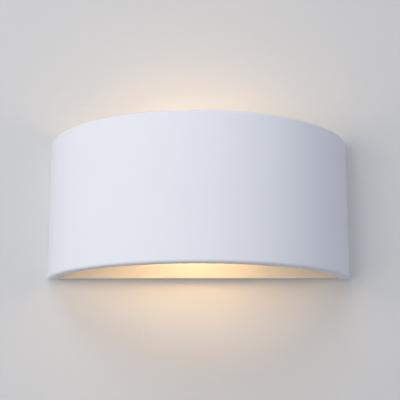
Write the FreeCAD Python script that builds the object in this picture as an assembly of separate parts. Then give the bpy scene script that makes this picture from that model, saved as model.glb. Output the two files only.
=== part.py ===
import FreeCAD, Part
import math
import os
from FreeCAD import Vector

# Half-round plaster wall light, open at the top and at the bottom, with one lamp lying
# across the inside. Millimetres. +Z is up and +X is to the right of someone facing the
# wall. The wall is the plane y = 0, the light stands out of it towards -Y, and the
# origin is the middle of its back.

# Plaster shell
shell_width = 300.0
shell_depth = 115.0
shell_height = 140.0
shell_wall = 10.5
curve_behind = 28.0            # from the wall back to the middle of the plan's ellipse
back_thickness = 5.0           # the frame round the window that faces the wall
back_bar_height = 25.0         # its top and bottom bars
back_stile_width = 22.0        # its sides, measured from the outside of the shell
outer_rim_round = 2.5
inner_rim_round = 1.2

# Wall bracket
sheet = 1.5                    # steel sheet of the bracket and of the arm
bracket_width = 200.0
window_gap = 9.0               # between the bracket and the top and bottom bars
bracket_corner = 6.0
wall_slot_radius = 2.5
wall_slot_length = 12.0
wall_slot_inset = 20.0         # from the bracket's end to the middle of a slot
wall_slot_edge = 9.0           # from the bracket's long edge to the middle of a slot
ear_width = 18.0
ear_end = 9.0                  # from the stud's middle to the end of the ear
ear_clearance = 1.0            # round the ear, in the recess of the top bar
ear_recess_depth = 2.0

# What the shell hangs on
stud_spacing = 120.0
stud_below_top = 12.5          # from the top of the shell down to the studs
stud_radius = 2.0
stud_spare = 3.0               # thread left in front of the nut
stud_chamfer = 0.5
stud_hole_clearance = 0.3
washer_radius = 6.0
washer_thickness = 1.0
nut_radius = 7.5
nut_length = 8.0
nut_collar_radius = 5.5
nut_collar_length = 2.0
nut_clearance = 0.05
nut_chamfer = 0.6
knurl_count = 24
knurl_depth = 0.45

# Lamp: a 60 mm pear-shaped bulb on a 27 mm screw cap
lamp_length = 105.0
lamp_radius = 30.0
glass_wall = 0.8
neck_radius = 12.6
neck_straight = 4.2            # of the neck, before it curves outwards
cap_length = 27.0
cap_skirt = 4.0                # smooth end of the cap, round the neck of the glass
cap_sheet = 0.6
thread_pitch = 3.629
cap_root_radius = 12.1
cap_bead_radius = 0.9
cap_bead_centre = 12.2
cap_thread_start = 8.0
cap_thread_turns = 3.75
contact_radius = 4.5
contact_height = 1.2
insulator_base_radius = 6.0
insulator_cone_height = 4.0
insulator_step = 0.8           # from the cone to the cap's lower edge
insulator_plug = 1.5
filament_count = 4
filament_radius = 1.1
filament_length = 36.0
filament_circle = 9.0
support_wire_radius = 0.4
stem_radius = 4.0
stem_tip_radius = 2.5
stem_flare_height = 1.5
stem_foot_height = 6.0
driver_width = 17.0
driver_height = 12.0
driver_thickness = 1.2
driver_flat_part = 4.0
driver_round_part = 2.5
driver_part_inset = 2.0

# Lampholder
holder_radius = 21.5
holder_bore = 14.5
holder_mouth_step = 2.0        # how far the cap's skirt stands out of the mouth
holder_floor_top = 3.0         # heights along the lamp's axis, from its contact
holder_floor_bottom = -5.0
holder_floor_hole = 10.5
holder_back = -20.0
base_floor = 4.0
base_cavity_radius = 15.0
holder_edge_round = 1.5
thread_shell_radius = 14.05
thread_shell_sheet = 0.7
thread_shell_lip = 1.0         # below the mouth
thread_shell_ring_radius = 11.0
holder_bead_centre = 13.2
holder_bead_radius = 0.7
holder_thread_turns = 2.75
contact_gap = 0.05             # between the leaf and the lamp's contact
contact_sheet = 0.8
contact_width = 6.0
leaf_end = 4.0                 # beyond the axis
leaf_flat = 2.5
post_offset = 10.0             # the two terminals, from the axis
post_length = 7.0
post_width = 8.0
post_height = 3.2
strap_inset = 0.65             # from the thread shell's outside to the strap
strap_clearance = 0.3
holder_terminal_head = 2.4
holder_terminal_head_height = 1.8
terminal_screw_depth = 5.0     # below the post's top
holder_screw_circle = 18.0
holder_screw_head = 2.9
holder_screw_head_height = 2.2
holder_screw_grip = 13.0       # inside the holder's body
small_screw_radius = 1.5
screw_hole_clearance = 0.2
screw_slot = 0.8
lead_hole_clearance = 0.35

# Arm that carries the lampholder
arm_shell_clearance = 5.0      # from its round end to the curve of the shell
lamp_block_clearance = 4.0     # from the lamp back to the front of the terminal block
arm_side_margin = 1.5          # of sheet round the holder
arm_foot_length = 27.0
arm_foot_clearance = 7.0       # from the foot to the middle of the wall slots
rivet_radius = 2.0
rivet_head_radius = 3.5
rivet_head_height = 1.2
rivet_head_round = 0.96
rivet_inset = 7.0

# Terminal block and wiring
block_centre_x = -41.5
way_count = 3
way_pitch = 10.0
way_width = 8.6
way_round = 2.0
block_length = 17.0
block_height = 12.5
block_web_height = 8.7         # of the webs that join the ways
web_inset = 1.5
wire_height = 5.5              # of the wires, over the bracket
tube_radius = 2.6
tube_bore = 1.5
tube_length = 15.0
tube_screw_offset = 4.5
tube_screw_recess = 1.0
grub_slot_depth = 1.0
block_screw_head = 2.6
block_screw_head_height = 1.8
lead_radius = 1.25
core_radius = 0.8
lead_grip = 1.5                # insulation inside the terminal's tube
lead_step_x = 0.0              # where the neutral lead starts to drift down
lead_step_length = 40.0
lead_stop = 5.0                # from the end of the insulation to the screw's middle

# Earthing
earth_x = 6.0
earth_edge = 11.0              # from the bracket's lower edge up to the earth stud
earth_angle = -30.0            # of the tag, in the plane of the bracket
earth_stud_length = 11.0
tag_radius = 4.3
tag_thickness = 0.8
tag_barrel_start = 5.0         # from the stud's middle
tag_barrel_length = 8.0
tag_barrel_wall = 0.6
tag_barrel_overlap = 1.0
tag_strip_width = 3.2
tag_core_length = 2.7          # bare core inside the barrel
tag_lead_straight = 4.8        # of the lead, before the barrel
earth_washer_radius = 4.0
earth_washer_thickness = 0.8
earth_nut_across_flats = 7.0
earth_nut_height = 3.2
earth_fit = 0.05               # round the stud, in the tag, washer and nut

# Cable entry
grommet_x = -68.0
grommet_hole = 7.0
grommet_fit = 0.1
grommet_bore = 4.0
grommet_flange = 9.5
grommet_flange_thickness = 1.8
grommet_collar_foot = 7.0
grommet_collar_radius = 6.0
grommet_collar_height = 2.4

half_height = shell_height / 2
window_half_height = half_height - back_bar_height
window_half_width = shell_width / 2 - back_stile_width
bracket_half_height = window_half_height - window_gap
bracket_half_width = bracket_width / 2
wall_slot_x = bracket_half_width - wall_slot_inset
wall_slot_z = bracket_half_height - wall_slot_edge
stud_x = stud_spacing / 2
stud_z = half_height - stud_below_top

# In plan the shell is the front of an ellipse whose middle lies behind the wall, so its
# sides meet the wall leaning in a little. The ellipse inside it is smaller by the wall.
outer_reach = shell_depth + curve_behind
outer_half_width = shell_width / 2 / math.sqrt(1 - (curve_behind / outer_reach) ** 2)
inner_reach = outer_reach - shell_wall
inner_half_width = outer_half_width - shell_wall

# The lamp's axis lies along X, just far enough from the wall for the lamp to clear the
# terminal block. The arm's outer face stands where its round end meets its clearance
# inside the curve of the shell. Heights along the axis start at the lamp's contact and
# grow towards the glass, to the left.
lamp_y = -(sheet + block_height + lamp_block_clearance + lamp_radius)
arm_head = holder_radius + arm_side_margin
arm_reach = arm_head + arm_shell_clearance + curve_behind - lamp_y
arm_x = inner_half_width * math.sqrt(1 - (arm_reach / inner_reach) ** 2)
contact_x = arm_x - sheet + holder_back
holder_mouth = cap_length - holder_mouth_step
cap_bottom = contact_height + insulator_cone_height + insulator_step
cap_inner_radius = cap_root_radius - cap_sheet
neck_bottom = cap_length - cap_skirt
post_top = holder_back + base_floor + post_height
terminal_wire_level = post_top + contact_sheet + core_radius

wire_y = -sheet - wire_height
way_levels = [(way_count - 1) / 2 * way_pitch - index * way_pitch for index in range(way_count)]
holder_wire_x = contact_x - terminal_wire_level
earth_z = earth_edge - bracket_half_height


def box(x_range, y_range, z_range):
    low = Vector(min(x_range), min(y_range), min(z_range))
    high = Vector(max(x_range), max(y_range), max(z_range))
    size = high - low
    return Part.makeBox(size.x, size.y, size.z, low)


def rod(radius, start, end):
    return Part.makeCylinder(radius, (end - start).Length, start, end - start)


def pipe(outer, inner, start, end):
    return rod(outer, start, end).cut(rod(inner, start, end))


def through_y(radius, x, z, y_front, y_back):
    return rod(radius, Vector(x, y_front, z), Vector(x, y_back, z))


def along(radius, low, high, x=0.0, y=0.0):
    # a rod parallel to the lamp's axis, in the lamp's own frame
    return rod(radius, Vector(x, y, low), Vector(x, y, high))


def turned(points):
    # a solid turned from an outline of (radius, height) points
    corners = [Vector(radius, 0, height) for radius, height in points]
    face = Part.Face(Part.makePolygon(corners + corners[:1]))
    return face.revolve(Vector(), Vector(0, 0, 1), 360)


def extruded_strip(points, width):
    # a flat strip bent in the plane of the lamp's axis, from an outline of (x, height) points
    corners = [Vector(x, -width / 2, height) for x, height in points]
    return Part.Face(Part.makePolygon(corners + corners[:1])).extrude(Vector(0, width, 0))


def on_lamp_axis(shape):
    shape = shape.copy()
    shape.rotate(Vector(), Vector(0, 1, 0), -90)
    shape.translate(Vector(contact_x, lamp_y, 0))
    return shape


def helical_bead(centre_radius, bead_radius, turns, start_height):
    helix = Part.makeHelix(thread_pitch, thread_pitch * turns, centre_radius)
    start = helix.Edges[0].valueAt(helix.Edges[0].FirstParameter)
    heading = helix.Edges[0].tangentAt(helix.Edges[0].FirstParameter)
    section = Part.Wire(Part.makeCircle(bead_radius, start, heading))
    bead = Part.Wire(helix.Edges).makePipeShell([section], True, True)
    bead.translate(Vector(0, 0, start_height))
    return bead


def screw(head_radius, head_height, shank_radius, shank_length):
    # a slotted screw whose head sits on z = 0 and whose shank points down
    head = Part.makeCylinder(head_radius, head_height)
    rounded = [edge for edge in head.Edges if edge.BoundBox.ZMin > head_height / 2]
    head = head.makeFillet(head_height / 3, rounded)
    slot = box((-head_radius, head_radius), (-screw_slot / 2, screw_slot / 2),
               (head_height / 2, head_height))
    shank = Part.makeCylinder(shank_radius, shank_length, Vector(0, 0, -shank_length))
    return head.cut(slot).fuse(shank)


def facing_front(shape, x, y, z):
    # turns a piece made along +Z so that its top faces -Y
    shape = shape.copy()
    shape.rotate(Vector(), Vector(1, 0, 0), 90)
    shape.translate(Vector(x, y, z))
    return shape


def plan_curve(half_width, reach, z):
    # the part of the ellipse that lies in front of the wall
    middle = Vector(0, curve_behind, z)
    side = middle + Vector(half_width, 0, 0)
    front = middle - Vector(0, reach, 0)
    at_wall = math.asin(curve_behind / reach)
    if half_width >= reach:
        return Part.Ellipse(side, front, middle).toShape(at_wall, math.pi - at_wall)
    return Part.Ellipse(front, side, middle).toShape(at_wall - math.pi / 2,
                                                     math.pi / 2 - at_wall)


def half_round_block(half_width, reach, z_low, z_high):
    curve = plan_curve(half_width, reach, z_low)
    chord = Part.makeLine(curve.Vertexes[-1].Point, curve.Vertexes[0].Point)
    face = Part.Face(Part.Wire([curve, chord]))
    return face.extrude(Vector(0, 0, z_high - z_low))


def rim_edges(shape, low_reach, high_reach):
    # the level edges at the top and bottom whose farthest point from the wall is in reach
    found = []
    for edge in shape.Edges:
        bounds = edge.BoundBox
        level = bounds.ZLength < 0.01 and abs(abs(bounds.ZMin) - half_height) < 0.01
        if level and low_reach < -bounds.YMin < high_reach:
            found.append(edge)
    return found


def make_plaster_shell():
    half_width = shell_width / 2
    shell = half_round_block(outer_half_width, outer_reach, -half_height, half_height)
    hollow = half_round_block(inner_half_width, inner_reach, -half_height, half_height)
    behind = box((-half_width, half_width), (-back_thickness, 0), (-half_height, half_height))
    shell = shell.cut(hollow.cut(behind))
    window = box((-window_half_width, window_half_width), (-back_thickness, 0),
                 (-window_half_height, window_half_height))
    shell = shell.cut(window)
    middle_of_wall = shell_depth - shell_wall / 2
    outer_rims = rim_edges(shell, middle_of_wall, shell_depth + shell_wall)
    shell = shell.makeFillet(outer_rim_round, outer_rims)
    inner_rims = rim_edges(shell, back_thickness / 2, middle_of_wall)
    shell = shell.makeFillet(inner_rim_round, inner_rims)
    for x in (-stud_x, stud_x):
        reach = ear_width / 2 + ear_clearance
        shell = shell.cut(box((x - reach, x + reach), (-ear_recess_depth, 0),
                              (window_half_height, stud_z + ear_end + ear_clearance)))
        shell = shell.cut(through_y(stud_radius + stud_hole_clearance, x, stud_z,
                                    -back_thickness, 0))
    return shell


def make_wall_bracket():
    plate = box((-bracket_half_width, bracket_half_width), (-sheet, 0),
                (-bracket_half_height, bracket_half_height))
    corners = [edge for edge in plate.Edges if edge.BoundBox.YLength > sheet / 2]
    plate = plate.makeFillet(bracket_corner, corners)
    for x in (-stud_x, stud_x):
        ear = box((x - ear_width / 2, x + ear_width / 2), (-sheet, 0),
                  (0, stud_z))
        plate = plate.fuse([ear, through_y(ear_end, x, stud_z, -sheet, 0)])
    plate = plate.removeSplitter()
    holes = [through_y(stud_radius, x, stud_z, -sheet, 0) for x in (-stud_x, stud_x)]
    holes += [wall_slot(x, z) for x in (-wall_slot_x, wall_slot_x)
              for z in (-wall_slot_z, wall_slot_z)]
    holes += [through_y(rivet_radius, x, 0, -sheet, 0) for x in rivet_places()]
    holes.append(through_y(grommet_hole, grommet_x, 0, -sheet, 0))
    holes.append(through_y(stud_radius, earth_x, earth_z, -sheet, 0))
    holes += [through_y(small_screw_radius, block_centre_x, z, -sheet, 0)
              for z in block_screw_levels()]
    return plate.cut(holes)


def wall_slot(x, z):
    reach = wall_slot_length / 2 - wall_slot_radius
    middle = box((x - reach, x + reach), (-sheet, 0), (z - wall_slot_radius, z + wall_slot_radius))
    ends = [through_y(wall_slot_radius, x + side * reach, z, -sheet, 0) for side in (-1, 1)]
    return middle.fuse(ends)


def make_hanging_studs():
    length = back_thickness + washer_thickness + nut_length + stud_spare
    studs = []
    for x in (-stud_x, stud_x):
        stud = through_y(stud_radius, x, stud_z, -length, 0)
        tip = [edge for edge in stud.Edges if edge.BoundBox.YMax < -length / 2]
        studs.append(stud.makeChamfer(stud_chamfer, tip))
    return studs


def make_stud_washers():
    front = -back_thickness - washer_thickness
    return [pipe(washer_radius, stud_radius + stud_hole_clearance,
                 Vector(x, front, stud_z), Vector(x, -back_thickness, stud_z))
            for x in (-stud_x, stud_x)]


def make_thumb_nut(x):
    # a knurled wheel with a smooth collar behind it
    wheel_length = nut_length - nut_collar_length
    nut = Part.makeCylinder(nut_radius, wheel_length, Vector(0, 0, nut_collar_length))
    rims = [edge for edge in nut.Edges if edge.BoundBox.ZLength < 0.01]
    nut = nut.makeChamfer(nut_chamfer, rims)
    grooves = []
    for index in range(knurl_count):
        angle = 2 * math.pi * index / knurl_count
        reach = nut_radius + knurl_depth
        foot = Vector(reach * math.cos(angle), reach * math.sin(angle), nut_collar_length)
        grooves.append(Part.makeCylinder(2 * knurl_depth, wheel_length, foot))
    nut = nut.cut(grooves).fuse(Part.makeCylinder(nut_collar_radius, nut_collar_length))
    nut = nut.cut(Part.makeCylinder(stud_radius + nut_clearance, nut_length))
    return facing_front(nut, x, -back_thickness - washer_thickness, stud_z)


def rivet_places():
    near_end = arm_x - arm_foot_length + rivet_inset
    return (near_end, near_end + arm_foot_length - 2 * rivet_inset)


def make_holder_arm():
    foot_half = wall_slot_z - arm_foot_clearance
    foot = box((arm_x - arm_foot_length, arm_x), (-2 * sheet, -sheet), (-foot_half, foot_half))
    upright = box((arm_x - sheet, arm_x), (lamp_y, -sheet), (-foot_half, foot_half))
    plate = rod(arm_head, Vector(arm_x - sheet, lamp_y, 0), Vector(arm_x, lamp_y, 0))
    arm = foot.fuse([upright, plate]).removeSplitter()
    holes = [through_y(rivet_radius, x, 0, -2 * sheet, -sheet) for x in rivet_places()]
    for z in (-holder_screw_circle, holder_screw_circle):
        holes.append(rod(small_screw_radius + screw_hole_clearance,
                         Vector(arm_x - sheet, lamp_y, z), Vector(arm_x, lamp_y, z)))
    return arm.cut(holes)


def make_arm_rivets():
    rivets = []
    for x in rivet_places():
        head = Part.makeCylinder(rivet_head_radius, rivet_head_height)
        rounded = [edge for edge in head.Edges if edge.BoundBox.ZMin > rivet_head_height / 2]
        head = head.makeFillet(rivet_head_round, rounded)
        shank = Part.makeCylinder(rivet_radius, 2 * sheet, Vector(0, 0, -2 * sheet))
        rivets.append(facing_front(head.fuse(shank), x, -2 * sheet, 0))
    return rivets


def make_lampholder_body():
    body = along(holder_radius, holder_floor_bottom, holder_mouth)
    rims = [edge for edge in body.Edges if edge.BoundBox.ZMin > holder_mouth - 0.01]
    body = body.makeFillet(holder_edge_round, rims)
    strap_outer = thread_shell_radius - strap_inset + strap_clearance
    strap_inner = thread_shell_radius - strap_inset - contact_sheet - strap_clearance
    reach = contact_width / 2 + strap_clearance
    cuts = [
        along(holder_bore, holder_floor_top, holder_mouth),
        along(holder_floor_hole, holder_floor_bottom, holder_floor_top),
        box((-strap_outer, -strap_inner), (-reach, reach),
            (holder_floor_bottom, holder_floor_top)),
    ]
    for x in (-holder_screw_circle, holder_screw_circle):
        cuts.append(along(small_screw_radius, holder_floor_bottom,
                          holder_floor_bottom + holder_screw_grip, x))
    return on_lamp_axis(body.cut(cuts))


def make_lampholder_base():
    base = along(holder_radius, holder_back, holder_floor_bottom)
    rims = [edge for edge in base.Edges if edge.BoundBox.ZMax < holder_back + 0.01]
    base = base.makeFillet(holder_edge_round, rims)
    cavity_floor = holder_back + base_floor
    base = base.cut(along(base_cavity_radius, cavity_floor, holder_floor_bottom))
    posts = [box((side * (post_offset - post_length / 2), side * (post_offset + post_length / 2)),
                 (-post_width / 2, post_width / 2), (cavity_floor, post_top))
             for side in (-1, 1)]
    base = base.fuse(posts)
    cuts = []
    for side in (-1, 1):
        cuts.append(along(small_screw_radius + screw_hole_clearance, holder_back,
                          holder_floor_bottom, side * holder_screw_circle))
        cuts.append(along(small_screw_radius, post_top - terminal_screw_depth, post_top,
                          side * post_offset))
        entry = Vector(side * post_offset, 0, terminal_wire_level)
        cuts.append(rod(lead_radius + lead_hole_clearance,
                        entry + Vector(0, post_width / 2, 0), entry + Vector(0, holder_radius, 0)))
    return on_lamp_axis(base.cut(cuts))


def make_lampholder_thread():
    # the brass screw shell, with a rolled thread one half pitch from the cap's
    outer = thread_shell_radius
    inner = outer - thread_shell_sheet
    top = holder_mouth - thread_shell_lip
    sleeve = along(outer, holder_floor_top, top)
    sleeve = sleeve.cut([along(inner, holder_floor_top + thread_shell_sheet, top),
                         along(thread_shell_ring_radius, holder_floor_top, top)])
    bead = helical_bead(holder_bead_centre, holder_bead_radius, holder_thread_turns,
                        cap_thread_start + thread_pitch / 2)
    return on_lamp_axis(sleeve.fuse(bead))


def make_centre_contact():
    # a leaf from its terminal on the upper post to the middle, pressed by the lamp
    top = -contact_gap
    foot_top = post_top + contact_sheet
    near = post_offset - post_length / 2 + contact_sheet
    slope = math.atan2(top - foot_top, near - leaf_flat)
    side_step = contact_sheet / math.sin(slope) - contact_sheet / math.tan(slope)
    far = post_offset + post_length / 2
    outline = [
        (far, foot_top), (near, foot_top), (leaf_flat, top), (-leaf_end, top),
        (-leaf_end, top - contact_sheet), (leaf_flat - side_step, top - contact_sheet),
        (near - side_step, post_top), (far, post_top),
    ]
    leaf = extruded_strip(outline, contact_width)
    hole = along(small_screw_radius, post_top, foot_top, post_offset)
    return on_lamp_axis(leaf.cut(hole))


def make_shell_contact():
    # a strap from its terminal on the lower post up to the bottom of the screw shell
    outer = thread_shell_radius - strap_inset
    inner = outer - contact_sheet
    foot_top = post_top + contact_sheet
    near = post_offset - post_length / 2
    outline = [
        (-near, post_top), (-near, foot_top), (-inner, foot_top), (-inner, holder_floor_top),
        (-outer, holder_floor_top), (-outer, post_top),
    ]
    strap = extruded_strip(outline, contact_width)
    hole = along(small_screw_radius, post_top, foot_top, -post_offset)
    return on_lamp_axis(strap.cut(hole))


def make_lampholder_screws():
    length = sheet + holder_floor_bottom - holder_back + holder_screw_grip
    screws = []
    for x in (-holder_screw_circle, holder_screw_circle):
        piece = screw(holder_screw_head, holder_screw_head_height, small_screw_radius, length)
        piece.rotate(Vector(), Vector(1, 0, 0), 180)
        piece.translate(Vector(x, 0, holder_back - sheet))
        screws.append(on_lamp_axis(piece))
    return screws


def make_lampholder_terminal_screws():
    head_seat = post_top + contact_sheet + 2 * core_radius
    length = head_seat - post_top + terminal_screw_depth
    screws = []
    for x in (-post_offset, post_offset):
        piece = screw(holder_terminal_head, holder_terminal_head_height,
                      small_screw_radius, length)
        piece.translate(Vector(x, 0, head_seat))
        screws.append(on_lamp_axis(piece))
    return screws


def bulb_outline(wall):
    # half of the glass in section, its surface moved in by the wall: the neck runs
    # straight, curves outwards and meets the round of the bulb
    quarter = math.pi / 2
    centre = lamp_length - lamp_radius
    radius = lamp_radius - wall
    neck_top = neck_bottom + neck_straight
    rise = centre - neck_top
    flare = (neck_radius ** 2 + rise ** 2 - lamp_radius ** 2) / (2 * (lamp_radius - neck_radius))
    turn = math.asin(rise / (lamp_radius + flare))

    def on_flare(angle):
        reach = flare + wall
        return Vector(neck_radius + flare - reach * math.cos(angle), 0,
                      neck_top + reach * math.sin(angle))

    def on_bulb(angle):
        return Vector(radius * math.cos(angle), 0, centre + radius * math.sin(angle))

    corners = [Vector(0, 0, neck_bottom), Vector(neck_radius - wall, 0, neck_bottom), on_flare(0)]
    return Part.Face(Part.Wire([
        Part.makeLine(corners[0], corners[1]),
        Part.makeLine(corners[1], corners[2]),
        Part.Arc(on_flare(0), on_flare(turn / 2), on_flare(turn)).toShape(),
        Part.Arc(on_bulb(-turn), on_bulb(0), on_bulb(quarter)).toShape(),
        Part.makeLine(on_bulb(quarter), corners[0]),
    ]))


def make_lamp_glass():
    axis = (Vector(), Vector(0, 0, 1), 360)
    return on_lamp_axis(bulb_outline(0).revolve(*axis).cut(bulb_outline(glass_wall).revolve(*axis)))


def make_lamp_cap():
    skirt_outer = neck_radius + cap_sheet
    outline = [
        (cap_inner_radius, cap_bottom), (cap_root_radius, cap_bottom),
        (cap_root_radius, neck_bottom - cap_sheet), (skirt_outer, neck_bottom),
        (skirt_outer, cap_length), (neck_radius, cap_length),
        (neck_radius, neck_bottom), (cap_inner_radius, neck_bottom - cap_sheet),
    ]
    bead = helical_bead(cap_bead_centre, cap_bead_radius, cap_thread_turns, cap_thread_start)
    return on_lamp_axis(turned(outline).fuse(bead))


def make_lamp_insulator():
    cone_top = contact_height + insulator_cone_height
    return on_lamp_axis(turned([
        (0, contact_height), (insulator_base_radius, contact_height),
        (cap_root_radius, cone_top), (cap_root_radius, cap_bottom),
        (cap_inner_radius, cap_bottom), (cap_inner_radius, cap_bottom + insulator_plug),
        (0, cap_bottom + insulator_plug),
    ]))


def make_lamp_contact():
    button = along(contact_radius, 0, contact_height)
    rims = [edge for edge in button.Edges if edge.BoundBox.ZMax < contact_height / 2]
    return on_lamp_axis(button.makeFillet(contact_height / 2, rims))


def filament_heights():
    middle = lamp_length - lamp_radius
    return middle - filament_length / 2, middle + filament_length / 2


def filament_angles():
    return [2 * math.pi * index / filament_count for index in range(filament_count)]


def make_lamp_stem():
    stem_top = filament_heights()[0] - 2 * support_wire_radius
    inner = neck_radius - glass_wall
    return on_lamp_axis(turned([
        (0, neck_bottom), (inner, neck_bottom), (inner, neck_bottom + stem_flare_height),
        (stem_radius, neck_bottom + stem_foot_height),
        (stem_tip_radius, stem_top), (0, stem_top),
    ]))


def make_lamp_filaments():
    low, high = filament_heights()
    return [on_lamp_axis(along(filament_radius, low, high, filament_circle * math.cos(angle),
                               filament_circle * math.sin(angle))) for angle in filament_angles()]


def make_filament_wires():
    low, high = filament_heights()
    wires = along(support_wire_radius, low - 2 * support_wire_radius,
                  high + 2 * support_wire_radius)
    for level in (low - support_wire_radius, high + support_wire_radius):
        for angle in filament_angles():
            outwards = Vector(math.cos(angle), math.sin(angle), 0) * filament_circle
            hub = Vector(0, 0, level)
            wires = wires.fuse(rod(support_wire_radius, hub, hub + outwards))
    return on_lamp_axis(wires)


def make_lamp_driver():
    # the board, with one flat part on one face and one round part on the other
    bottom = cap_bottom + insulator_plug
    face = driver_thickness / 2
    low = bottom + driver_part_inset
    high = bottom + driver_height - driver_part_inset
    board = box((-face, face), (-driver_width / 2, driver_width / 2),
                (bottom, bottom + driver_height))
    flat = box((face, face + driver_flat_part), (-driver_width / 4, driver_width / 4), (low, high))
    round_part = along(driver_round_part, low, high, -face - driver_round_part)
    foot = box((-face - driver_round_part, -face),
               (-driver_round_part / 2, driver_round_part / 2), (low, high))
    return on_lamp_axis(board.fuse([flat, round_part, foot]))


def block_screw_levels():
    return [level - way_pitch / 2 for level in way_levels[:-1]]


def tube_screw_places():
    return (block_centre_x - tube_screw_offset, block_centre_x + tube_screw_offset)


def make_terminal_block():
    front = -sheet - block_height
    ends = (block_centre_x - block_length / 2, block_centre_x + block_length / 2)
    block = None
    for level in way_levels:
        way = box(ends, (front, -sheet), (level - way_width / 2, level + way_width / 2))
        edges = [edge for edge in way.Edges
                 if edge.BoundBox.XLength > block_length / 2 and edge.BoundBox.YMax < wire_y]
        way = way.makeFillet(way_round, edges)
        block = way if block is None else block.fuse(way)
    web = box((ends[0] + web_inset, ends[1] - web_inset), (-sheet - block_web_height, -sheet),
              (way_levels[0], way_levels[-1]))
    block = block.fuse(web).removeSplitter()
    cuts = []
    for level in way_levels:
        cuts.append(rod(tube_radius, Vector(ends[0], wire_y, level),
                        Vector(ends[1], wire_y, level)))
        for x in tube_screw_places():
            cuts.append(through_y(small_screw_radius + screw_hole_clearance, x, level,
                                  front, wire_y))
    for level in block_screw_levels():
        cuts.append(through_y(small_screw_radius + screw_hole_clearance, block_centre_x, level,
                              front, -sheet))
        cuts.append(through_y(block_screw_head + screw_hole_clearance, block_centre_x, level,
                              front, -sheet - block_web_height))
    return block.cut(cuts)


def make_terminal_tubes():
    tubes = []
    for level in way_levels:
        start = Vector(block_centre_x - tube_length / 2, wire_y, level)
        end = Vector(block_centre_x + tube_length / 2, wire_y, level)
        holes = [through_y(small_screw_radius, x, level, wire_y - tube_radius, wire_y)
                 for x in tube_screw_places()]
        tubes.append(pipe(tube_radius, tube_bore, start, end).cut(holes))
    return tubes


def make_terminal_screws():
    top = -sheet - block_height + tube_screw_recess
    length = wire_y - core_radius - top
    screws = []
    for level in way_levels:
        for x in tube_screw_places():
            grub = Part.makeCylinder(small_screw_radius, length)
            slot = box((-small_screw_radius, small_screw_radius), (-screw_slot / 2, screw_slot / 2),
                       (length - grub_slot_depth, length))
            screws.append(facing_front(grub.cut(slot), x, top + length, level))
    return screws


def make_terminal_block_screws():
    return [facing_front(screw(block_screw_head, block_screw_head_height, small_screw_radius,
                               sheet + block_web_height),
                         block_centre_x, -sheet - block_web_height, level)
            for level in block_screw_levels()]


def rounded_path(points):
    # straight runs joined by arcs as large as the shorter run beside each corner allows
    edges = []
    start = points[0]
    for before, corner, after in zip(points, points[1:], points[2:]):
        arriving = (corner - before).normalize()
        leaving = (after - corner).normalize()
        turn = arriving.getAngle(leaving)
        setback = 0.45 * min((corner - before).Length, (after - corner).Length)
        radius = setback / math.tan(turn / 2)
        arc_start = corner - arriving * setback
        arc_end = corner + leaving * setback
        inward = (leaving - arriving).normalize()
        middle = corner + inward * (radius / math.cos(turn / 2) - radius)
        edges.append(Part.LineSegment(start, arc_start).toShape())
        edges.append(Part.Arc(arc_start, middle, arc_end).toShape())
        print("  bend radius %.1f mm" % radius)
        start = arc_end
    edges.append(Part.LineSegment(start, points[-1]).toShape())
    return Part.Wire(edges)


def insulated_lead(points, core_start, core_end):
    # insulation along the route, with the bare core standing out of both ends
    path = rounded_path(points)
    heading = (points[1] - points[0]).normalize()
    section = Part.Wire(Part.makeCircle(lead_radius, points[0], heading))
    lead = path.makePipeShell([section], True, False)
    print("  lead %.1f mm, volume %.1f of %.1f mm3" % (
        path.Length, lead.Volume, math.pi * lead_radius ** 2 * path.Length))
    cores = [rod(core_radius, core_start, points[0]), rod(core_radius, points[-1], core_end)]
    return lead.fuse(cores)


def lead_start(level):
    # where the insulation ends and the core begins inside the terminal block
    end = Vector(block_centre_x + tube_length / 2 - lead_grip, wire_y, level)
    core = Vector(block_centre_x + tube_screw_offset - small_screw_radius, wire_y, level)
    return end, core


def make_live_lead():
    level = way_levels[0]
    start, core_start = lead_start(level)
    corner = Vector(holder_wire_x, wire_y, post_offset)
    rise = Vector(lead_step_x + lead_step_length, wire_y, post_offset)
    drift = Vector(lead_step_x, wire_y, level)
    end = Vector(holder_wire_x, lamp_y + lead_stop, post_offset)
    core_end = Vector(holder_wire_x, lamp_y + small_screw_radius, post_offset)
    route = [start, corner, end]
    if abs(level - post_offset) > 0.01:
        route = [start, drift, rise, corner, end]
    return insulated_lead(route, core_start, core_end)


def make_neutral_lead():
    start, core_start = lead_start(way_levels[1])
    route = [
        start,
        Vector(lead_step_x, wire_y, way_levels[1]),
        Vector(lead_step_x + lead_step_length, wire_y, -post_offset),
        Vector(holder_wire_x, wire_y, -post_offset),
        Vector(holder_wire_x, lamp_y + lead_stop, -post_offset),
    ]
    core_end = Vector(holder_wire_x, lamp_y + small_screw_radius, -post_offset)
    return insulated_lead(route, core_start, core_end)


def tag_heading():
    angle = math.radians(earth_angle)
    return Vector(math.cos(angle), 0, math.sin(angle))


def tag_barrel_axis(distance):
    # a point on the axis of the tag's barrel, this far from the stud's middle
    height = sheet + lead_radius + tag_barrel_wall
    return Vector(earth_x, -height, earth_z) - tag_heading() * distance


def make_earth_lead():
    start, core_start = lead_start(way_levels[-1])
    end_distance = tag_barrel_start + tag_core_length
    approach = tag_barrel_axis(tag_barrel_start + tag_barrel_length + tag_lead_straight)
    bend = Vector((start.x + approach.x) / 2, wire_y, start.z)
    route = [start, bend, approach, tag_barrel_axis(end_distance)]
    return insulated_lead(route, core_start, tag_barrel_axis(tag_barrel_start))


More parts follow.
